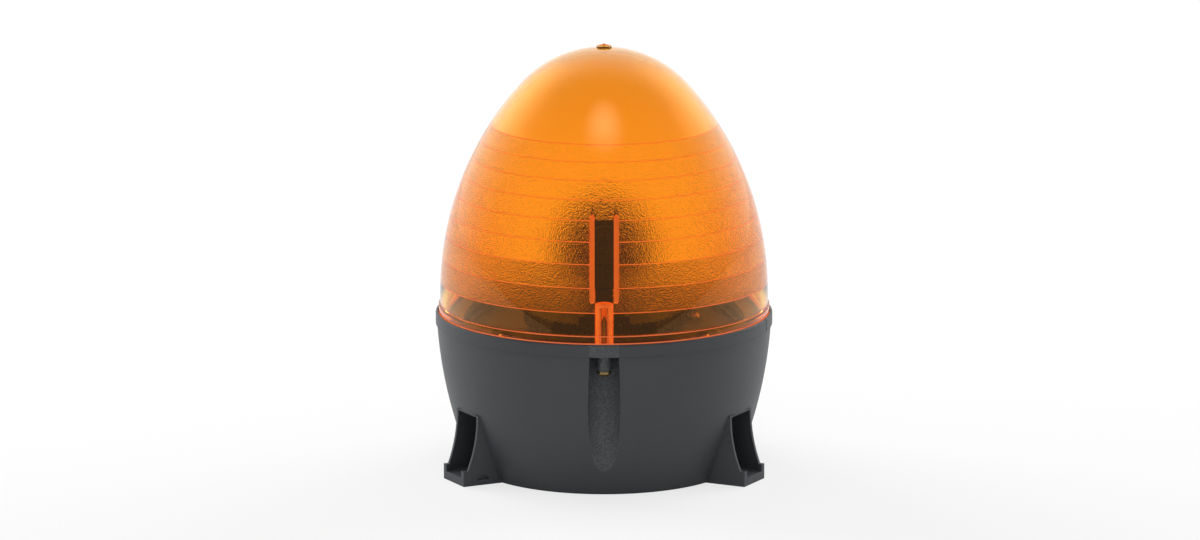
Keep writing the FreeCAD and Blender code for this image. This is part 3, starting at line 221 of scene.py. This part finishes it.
def turned_mesh(name, profile, steps=SPIN_STEPS, close=False):
    """A mesh turned about the axis from (radius, height, finish) points in millimetres; finish is
    the material slot of the strip that starts at the point."""
    points, faces, finishes, rings = [], [], [], []
    for radius, height, finish in profile:
        if radius < 1e-6:
            rings.append([len(points)] * steps)
            points.append((0, 0, height * MM))
            continue
        rings.append(list(range(len(points), len(points) + steps)))
        for i in range(steps):
            a = 2 * math.pi * i / steps
            points.append((radius * math.cos(a) * MM, radius * math.sin(a) * MM, height * MM))
    pairs = list(zip(rings, rings[1:], profile))
    if close:
        pairs.append((rings[-1], rings[0], profile[-1]))
    for low, high, (_, _, finish) in pairs:
        for i in range(steps):
            j = (i + 1) % steps
            corners = [low[i], low[j], high[j], high[i]]
            faces.append(list(dict.fromkeys(corners)))
            finishes.append(finish)
    mesh = bpy.data.meshes.new(name)
    mesh.from_pydata(points, [], faces)
    mesh.polygons.foreach_set("material_index", finishes)
    mesh.validate()
    piece = bpy.data.objects.new(name, mesh)
    bpy.context.scene.collection.objects.link(piece)
    return piece


def smooth(piece, angle=30):
    """Shade a piece smooth, with its edges sharp past an angle in degrees."""
    piece.data.polygons.foreach_set("use_smooth", [True] * len(piece.data.polygons))
    piece.data.set_sharp_from_angle(angle=math.radians(angle))


POLISHED, STIPPLED, SATIN, RIBBED, EDGE = range(5)
outside = [
    (FLANGE_R, DOME_SEAT, EDGE), (FLANGE_R, DOME_SEAT + 2.0, POLISHED),
    (FLANGE_R, FLANGE_TOP - 0.4, EDGE), (FLANGE_R - 0.2, FLANGE_TOP, POLISHED),
    (DOME_R, FLANGE_TOP + 0.15, POLISHED), (DOME_R, BAND_TOP - 2, POLISHED),
]
outside += [p + (POLISHED,) for p in egg_arcs(0, BAND_TOP) if p[0] > GATE_R]
gate_z = DOME_TOP + GATE_HEIGHT
gate = [
    (GATE_R, DOME_TOP - 0.1), (GATE_R, gate_z - 0.2), (GATE_R - 0.25, gate_z),
    (GATE_R - 0.8, gate_z), (GATE_R - 1.1, gate_z - 0.45), (NIB_R + 0.4, gate_z - 0.45),
    (NIB_R, gate_z - 0.2), (NIB_R - 0.1, gate_z + NIB_HEIGHT - 0.2),
    (NIB_R * 0.5, gate_z + NIB_HEIGHT), (0, gate_z + NIB_HEIGHT),
]
outside += [p + (POLISHED,) for p in gate]
inside = [(DOME_R - DOME_WALL, DOME_SEAT, POLISHED), (DOME_R - DOME_WALL, RING_FIRST, EDGE)]
for index in range(RING_COUNT - 1):
    low, high = ring_height(index), ring_height(index + 1)
    inside.append((egg_radius(DOME_WALL, low) - RING_STEP, low + RING_EDGE, STIPPLED))
    inside.append((egg_radius(DOME_WALL, high), high, EDGE))
last = ring_height(RING_COUNT - 1)
inside.append((egg_radius(DOME_WALL, last) - RING_STEP, last + RING_EDGE, SATIN))
inside += [(r, z, SATIN) for r, z in egg_arcs(DOME_WALL + RING_STEP * 0.5, last + 3)]
profile = outside
profile += [(r, z, inside[max(i - 1, 0)][2]) for i, (r, z, _) in reversed(list(enumerate(inside)))]
AMBER = "#FFC04E"                           # what one wall lets through
AMBER_GLOSS = "#FFCC98"
# The first colour tints the translucent scatter; the second is the colour of the painted glow, an
# emission laid on the edges, ribs and specks.
AMBER_GLOW, AMBER_PAINTED_GLOW = "#FFB48C", "#FF7A4A"
PAINTED_GLOW_STRENGTH = 1.4                            # painted glow: the strength of an emission that stands in for light gathered at the plastic's edges
POLYCARBONATE_IOR = 1.585
STIPPLE_MM = 0.7                            # drawn as coarse as it needs to be to show


def amber(name, roughness, bump, glow=0.0, specks=0.0):
    """Clear amber polycarbonate: the colour of one wall at each passage, with a gloss that is
    weak face-on and white along the edges, and a share of translucent scatter mixed half and half
    with painted glow, an emission, on faces meant to scatter light. Given specks, that share is
    specks at the grain's specks, which are painted glints, and glow between them."""
    made = bpy.data.materials.new(name)
    made.use_nodes = True
    tree = made.node_tree
    tree.nodes.clear()
    shader = add_node(tree, "BsdfPrincipled", {
        "Base Color": linear(AMBER), "Roughness": roughness, "IOR": POLYCARBONATE_IOR,
        "Transmission Weight": 1.0, "Specular IOR Level": 0.25,
        "Specular Tint": linear(AMBER_GLOSS)})
    surface = shader.outputs[0]
    if bump:
        place = add_node(tree, "TexCoord")
        grain = add_node(tree, "TexNoise", {
            "Vector": place.outputs["Object"], "Scale": 1 / (STIPPLE_MM * MM), "Detail": 2.0})
        raised = add_node(tree, "Bump", {"Height": grain.outputs["Fac"], "Strength": bump,
                                         "Distance": 0.3 * MM})
        tree.links.new(raised.outputs[0], shader.inputs["Normal"])
    if glow:
        scatter = add_node(tree, "BsdfTranslucent", {"Color": linear(AMBER_GLOW)})
        # Painted glow: an emission on the amber plastic, which is no lamp, mixed half and half with the
        # translucent scatter.
        painted_glow = add_node(tree, "Emission", {"Color": linear(AMBER_PAINTED_GLOW), "Strength": PAINTED_GLOW_STRENGTH})
        both = add_node(tree, "MixShader", {0: 0.5, 1: scatter.outputs[0], 2: painted_glow.outputs[0]})
        share = glow
        if specks:
            grit = add_node(tree, "TexVoronoi", {"Vector": place.outputs["Object"],
                                                 "Scale": 1 / (STIPPLE_MM * MM), "Randomness": 1.0})
            share = add_node(tree, "MapRange", {
                "Value": grit.outputs["Distance"], "From Min": 0.1, "From Max": 0.5,
                "To Min": specks, "To Max": glow}).outputs[0]
        surface = add_node(tree, "MixShader", {0: share, 1: surface, 2: both.outputs[0]}).outputs[0]
    add_node(tree, "OutputMaterial", {"Surface": surface})
    return made


dome = turned_mesh("dome_shell", profile, close=True)
# The ribs with their bosses and the edges (the flange's rims and the ring ledges) carry a strong
# painted glow; the stippled bands carry painted glints at the grain's specks, and they and the satin
# crown carry a faint painted glow.
FINISHES = (
    amber("amber_polycarbonate_polished", 0.03, 0.0),
    amber("amber_polycarbonate_stippled", 0.2, 1.0, 0.02, 0.28),
    amber("amber_polycarbonate_satin", 0.3, 0.0, 0.02),
    amber("amber_polycarbonate_ribs_painted_glow", 0.2, 0.0, 0.7),
    amber("amber_polycarbonate_edges_painted_glow", 0.2, 0.0, 0.8),
)
for made in FINISHES:
    dome.data.materials.append(made)


def upright(name, radius, low, high, x, y, steps=48):
    """A cutter: an upright cylinder at x, y between two heights, in millimetres."""
    shape = turned_mesh(name, [(0, low, 0), (radius, low, 0), (radius, high, 0), (0, high, 0)], steps)
    shape.data.transform(Matrix.Translation((x * MM, y * MM, 0)))
    return shape


def apply_modifiers(piece):
    """Replace a piece's mesh by what its modifiers make of it."""
    made = bpy.data.meshes.new_from_object(piece.evaluated_get(bpy.context.evaluated_depsgraph_get()))
    piece.modifiers.clear()
    piece.data = made


def combine(piece, others, operation):
    """Join other shapes to a piece, cut them from it or keep what they share, and delete them."""
    for other in others:
        step = piece.modifiers.new("combine", "BOOLEAN")
        step.operation = operation
        step.solver = "EXACT"
        step.object = other
        apply_modifiers(piece)
        bpy.data.objects.remove(other)


def rib(name, side):
    """One upright rib with round ends, standing inwards from the wall, for the screw at +X."""
    middle = side * (RIB_GAP + RIB_THICK) / 2
    half = RIB_THICK / 2
    build = bmesh.new()
    levels = [RIB_BOTTOM + half * (1 - math.cos(math.pi * i / 12)) for i in range(6)]
    levels += [RIB_BOTTOM + half + (RIB_TOP - RIB_BOTTOM - RIB_THICK) * i / 14 for i in range(14)]
    levels += [RIB_TOP - half * (1 - math.sin(math.pi * i / 12)) for i in range(7)]
    columns = []
    for z in levels:
        short = max(0.0, half - min(z - RIB_BOTTOM, RIB_TOP - z))
        wide = max(0.1, math.sqrt(half ** 2 - short ** 2))
        inner, outer = egg_radius(DOME_WALL + RIB_DEPTH, z), egg_radius(DOME_WALL * 0.5, z)
        columns.append([build.verts.new((r * MM, (middle + w) * MM, z * MM))
                        for r, w in ((inner, -wide), (outer, -wide), (outer, wide), (inner, wide))])
    for a, b in zip(columns, columns[1:]):
        for i in range(4):
            j = (i + 1) % 4
            build.faces.new((a[i], a[j], b[j], b[i]))
    build.faces.new(columns[0][::-1])
    build.faces.new(columns[-1])
    bmesh.ops.recalc_face_normals(build, faces=build.faces)
    mesh = bpy.data.meshes.new(name)
    build.to_mesh(mesh)
    build.free()
    shape = bpy.data.objects.new(name, mesh)
    bpy.context.scene.collection.objects.link(shape)
    return shape


for azimuth in SCREW_AZIMUTHS:
    spin = Matrix.Rotation(math.radians(azimuth), 4, "Z")
    x, y, _ = spin @ Vector((SCREW_CIRCLE_R, 0, 0))
    boss = upright("boss", BOSS_R - 0.15, DOME_SEAT + 0.01, BOSS_TOP, x * 0.994, y * 0.994)
    ribs = [rib("rib", side) for side in (-1, 1)]
    for shape in ribs:
        shape.data.transform(spin)
    for shape in [boss] + ribs:
        for made in FINISHES:
            shape.data.materials.append(made)
        shape.data.polygons.foreach_set("material_index", [RIBBED] * len(shape.data.polygons))
    combine(dome, [boss] + ribs, "UNION")
    pilot = upright("pilot", PILOT_R, DOME_SEAT - 1, DOME_SEAT + PILOT_DEPTH, x, y)
    combine(dome, [pilot], "DIFFERENCE")

for face in dome.data.polygons:
    for azimuth in SCREW_AZIMUTHS:
        spot = Matrix.Rotation(math.radians(-azimuth), 3, "Z") @ face.center / MM
        between = spot.x > 0 and abs(spot.y) < RIB_GAP / 2 and BOSS_TOP < spot.z < RIB_TOP
        if between and face.material_index in (STIPPLED, EDGE):
            face.material_index = POLISHED

smooth(dome)
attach(dome, "base")
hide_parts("dome")


# ---------------------------------------------------------------- base housing
# The tapered housing with its collar, grooves and feet is one moulding of anthracite ABS. Its mould
# was spark-eroded, which gives the walls a fine dull grain and the three grooves a much coarser one.
def coat(node, material):
    """Give a CAD node one material."""
    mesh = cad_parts[node].data
    mesh.materials.clear()
    mesh.materials.append(material)


ANTHRACITE, ANTHRACITE_WORN = "#3F4246", "#5B5E61"
GRAIN_MM, GROOVE_GRAIN_MM = 0.7, 0.9
GROOVE_AXIS_R, GROOVE_R = 0.071, 0.0073


def anthracite_abs():
    made = bpy.data.materials.new("anthracite_abs_spark_eroded")
    made.use_nodes = True
    tree = made.node_tree
    tree.nodes.clear()
    place = add_node(tree, "TexCoord").outputs["Object"]
    spot = add_node(tree, "SeparateXYZ", {0: place})
    flat = add_node(tree, "CombineXYZ", {0: spot.outputs[0], 1: spot.outputs[1]})
    radius = add_node(tree, "VectorMath", {0: flat.outputs[0]}, operation="LENGTH").outputs["Value"]
    turn = add_node(tree, "Math", {0: spot.outputs[1], 1: spot.outputs[0]},
                    operation="ARCTAN2").outputs[0]
    third = 2 * math.pi / 3
    turn = add_node(tree, "Math", {0: turn, 1: math.pi / 2 + third * 3.5}, operation="ADD").outputs[0]
    turn = add_node(tree, "Math", {0: turn, 1: third}, operation="MODULO").outputs[0]
    turn = add_node(tree, "Math", {0: turn, 1: third / 2}, operation="SUBTRACT").outputs[0]
    along = add_node(tree, "Math", {0: turn}, operation="COSINE").outputs[0]
    across = add_node(tree, "Math", {0: turn}, operation="SINE").outputs[0]
    along = add_node(tree, "Math", {0: along, 1: radius}, operation="MULTIPLY").outputs[0]
    across = add_node(tree, "Math", {0: across, 1: radius}, operation="MULTIPLY").outputs[0]
    along = add_node(tree, "Math", {0: along, 1: GROOVE_AXIS_R}, operation="SUBTRACT").outputs[0]
    gap = add_node(tree, "CombineXYZ", {0: along, 1: across}).outputs[0]
    gap = add_node(tree, "VectorMath", {0: gap}, operation="LENGTH").outputs["Value"]
    groove = add_node(tree, "Math", {0: gap, 1: GROOVE_R}, operation="LESS_THAN").outputs[0]
    fine = add_node(tree, "TexNoise", {"Vector": place, "Scale": 1 / (GRAIN_MM * MM), "Detail": 3.0})
    coarse = add_node(tree, "TexVoronoi", {"Vector": place, "Scale": 1 / (GROOVE_GRAIN_MM * MM)})
    cloud = add_node(tree, "TexNoise", {"Vector": place, "Scale": 1 / (18 * MM), "Detail": 4.0})
    speck = add_node(tree, "MapRange", {
        "Value": coarse.outputs["Distance"], "From Min": 0.1, "From Max": 0.7,
        "To Min": 0.0, "To Max": 0.8})
    pale = add_node(tree, "Math", {0: speck.outputs[0], 1: groove}, operation="MULTIPLY")
    tone = add_node(tree, "MapRange", {"Value": cloud.outputs["Fac"], "To Min": 0.0, "To Max": 0.14})
    share = add_node(tree, "Math", {0: pale.outputs[0], 1: tone.outputs[0]}, operation="ADD")
    colour = add_node(tree, "Mix", {
        "Factor": share.outputs[0], "A": linear(ANTHRACITE), "B": linear(ANTHRACITE_WORN)},
        data_type="RGBA")
    rounded = add_node(tree, "Bevel", {"Radius": 0.35 * MM}, samples=4)
    rise = add_node(tree, "Bump", {
        "Height": fine.outputs["Fac"], "Strength": 0.35, "Distance": 0.12 * MM,
        "Normal": rounded.outputs[0]})
    pits = add_node(tree, "Bump", {
        "Height": coarse.outputs["Distance"], "Strength": groove, "Distance": 0.35 * MM,
        "Normal": rise.outputs[0]})
    rough = add_node(tree, "MapRange", {"Value": fine.outputs["Fac"], "To Min": 0.42, "To Max": 0.62})
    shader = add_node(tree, "BsdfPrincipled", {
        "Base Color": colour.outputs["Result"], "Roughness": rough.outputs[0],
        "Normal": pits.outputs[0], "Specular IOR Level": 0.5})
    add_node(tree, "OutputMaterial", {"Surface": shader.outputs[0]})
    return made


coat("base_housing", anthracite_abs())


# --------------------------------------------------------------- seals
# The gasket under the dome and the grommet in the floor are moulded EPDM rubber. Fresh from its
# mould, the rubber is nearly black and dull all over.
def finish(name, colour, other, metallic, roughness, grain_mm, bump, **more):
    """A surface whose colour drifts between two tones and whose grain shows in bump and gloss."""
    made = bpy.data.materials.new(name)
    made.use_nodes = True
    tree = made.node_tree
    tree.nodes.clear()
    place = add_node(tree, "TexCoord").outputs["Object"]
    grain = add_node(tree, "TexNoise", {"Vector": place, "Scale": 1 / (grain_mm * MM), "Detail": 4.0})
    tone = add_node(tree, "Mix", {
        "Factor": grain.outputs["Fac"], "A": linear(colour), "B": linear(other)},
        data_type="RGBA")
    gloss = add_node(tree, "MapRange", {"Value": grain.outputs["Fac"], "To Min": roughness * 0.8,
                                        "To Max": roughness * 1.2})
    rise = add_node(tree, "Bump", {
        "Height": grain.outputs["Fac"], "Strength": bump, "Distance": 0.1 * MM})
    shader = add_node(tree, "BsdfPrincipled", {
        "Base Color": tone.outputs["Result"], "Roughness": gloss.outputs[0], "Metallic": metallic,
        "Normal": rise.outputs[0]})
    for socket, number in more.items():
        shader.inputs[socket.replace("_", " ")].default_value = number
    add_node(tree, "OutputMaterial", {"Surface": shader.outputs[0]})
    return made


def dress(material, *nodes):
    """Give several CAD nodes one material."""
    for node in nodes:
        coat(node, material)


dress(finish("black_epdm_rubber", "#151515", "#1E1E1E", 0.0, 0.7, 0.8, 0.3),
      "dome_gasket", "cable_grommet")


# --------------------------------------------------------------- screws
# Thread-forming steel screws with a yellow chromate over zinc, which leaves a warm, slightly
# uneven shine. Those on the rotor are dark, with the carrier.
dress(finish("yellow_zinc_plated_steel", "#A68D5F", "#8C7348", 1.0, 0.28, 0.9, 0.1),
      "dome_screws", "chassis_screws", "post_screws", "motor_screws", "board_screws",
      "terminal_screws", "clamp_screws")


# --------------------------------------------------------------- chassis and post
# The chassis plate and the cord clamp are black ABS mouldings. The hollow post is turned steel, a
# nylon washer carries the rotor on it, and a clip of blued spring steel holds the rotor down.
black_abs = finish("black_abs_moulded", "#121214", "#18181A", 0.0, 0.55, 0.9, 0.2,
                   Specular_IOR_Level=0.2)
dress(black_abs, "chassis_plate", "cord_clamp")
dress(finish("bright_turned_steel", "#B8B8B6", "#A5A5A3", 1.0, 0.25, 0.4, 0.1),
      "centre_post", "motor_shaft")
dress(finish("natural_nylon", "#E6E2D6", "#DAD5C8", 0.0, 0.4, 0.8, 0.1), "thrust_washer")
dress(finish("blued_spring_steel", "#2B2E36", "#1F2128", 1.0, 0.35, 0.6, 0.1), "retaining_clip")


# --------------------------------------------------------------- drive
# The large gear is a black acetal moulding on a sintered bronze bush. A hobbed brass pinion on the
# motor's shaft turns it; the motor is a zinc-plated drawn can closed by a cream end cap.
dress(finish("black_acetal_moulded", "#101012", "#151517", 0.0, 0.6, 0.9, 0.1,
             Specular_IOR_Level=0.15), "drive_gear")
dress(finish("sintered_bronze", "#9C7440", "#7E5B30", 1.0, 0.45, 0.4, 0.3), "bearing_bush")
dress(finish("hobbed_brass", "#C7A257", "#B08C46", 1.0, 0.28, 0.6, 0.1),
      "pinion", "motor_terminals", "lamp_cap")
dress(finish("zinc_plated_deep_drawn_steel", "#B9BBBD", "#A3A6A9", 1.0, 0.3, 1.2, 0.1), "motor_can")
dress(finish("cream_polyamide_moulded", "#E0DAC4", "#D2CBB4", 0.0, 0.45, 0.9, 0.2), "motor_end_cap")


# --------------------------------------------------------------- reflector and carrier
# The reflector is a black moulded bowl with bright aluminium metallised on its hollow side alone.
# A folded steel bracket in dull black zinc carries it on the gear.
dress(finish("black_zinc_folded_steel", "#141416", "#1B1B1D", 0.4, 0.5, 0.8, 0.2,
             Specular_IOR_Level=0.3), "reflector_carrier", "reflector_screws", "carrier_screws")
dress(finish("vacuum_metallised_aluminium", "#E6E7E8", "#DCDDDF", 1.0, 0.04, 2.0, 0.02), "reflector")

BOWL_REACH = 0.05                           # no part of the hollow side lies further from the axis
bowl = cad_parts["reflector"]
bowl.data.materials.append(black_abs)
lamp_height = sum(Vector(corner).z for corner in bowl.bound_box) / 8
lamp_point = Vector((0, 0, lamp_height))
for face in bowl.data.polygons:
    faces_lamp = face.normal.dot(lamp_point - face.center) > 0
    face.material_index = 0 if faces_lamp and face.center.xy.length < BOWL_REACH else 1


# --------------------------------------------------------------- lamp
# A small halogen lamp of clear quartz, with its brass cap held in a glazed steatite holder. The
# holder caps the post and stays still while the reflector goes round it.
dress(finish("glazed_steatite", "#E9E6DC", "#DFDBCF", 0.0, 0.2, 1.5, 0.1), "lamp_holder")
dress(finish("clear_quartz_glass", "#FFFFFF", "#FAFCFF", 0.0, 0.02, 3.0, 0.0,
             Transmission_Weight=1.0), "lamp_glass")


# --------------------------------------------------------------- wiring board
# A laminate board under green solder resist, with a green screw terminal block and a capacitor in
# a glossy yellow case that keeps the motor's sparks off the supply.
dress(finish("green_solder_resist", "#1F5A33", "#2A6B3E", 0.0, 0.3, 1.5, 0.1), "suppressor_board")
dress(finish("green_polyamide_moulded", "#2E7A46", "#276B3D", 0.0, 0.4, 0.9, 0.2), "terminal_block")
dress(finish("yellow_capacitor_case", "#D6B01F", "#C7A118", 0.0, 0.35, 0.9, 0.1),
      "suppressor_capacitor")
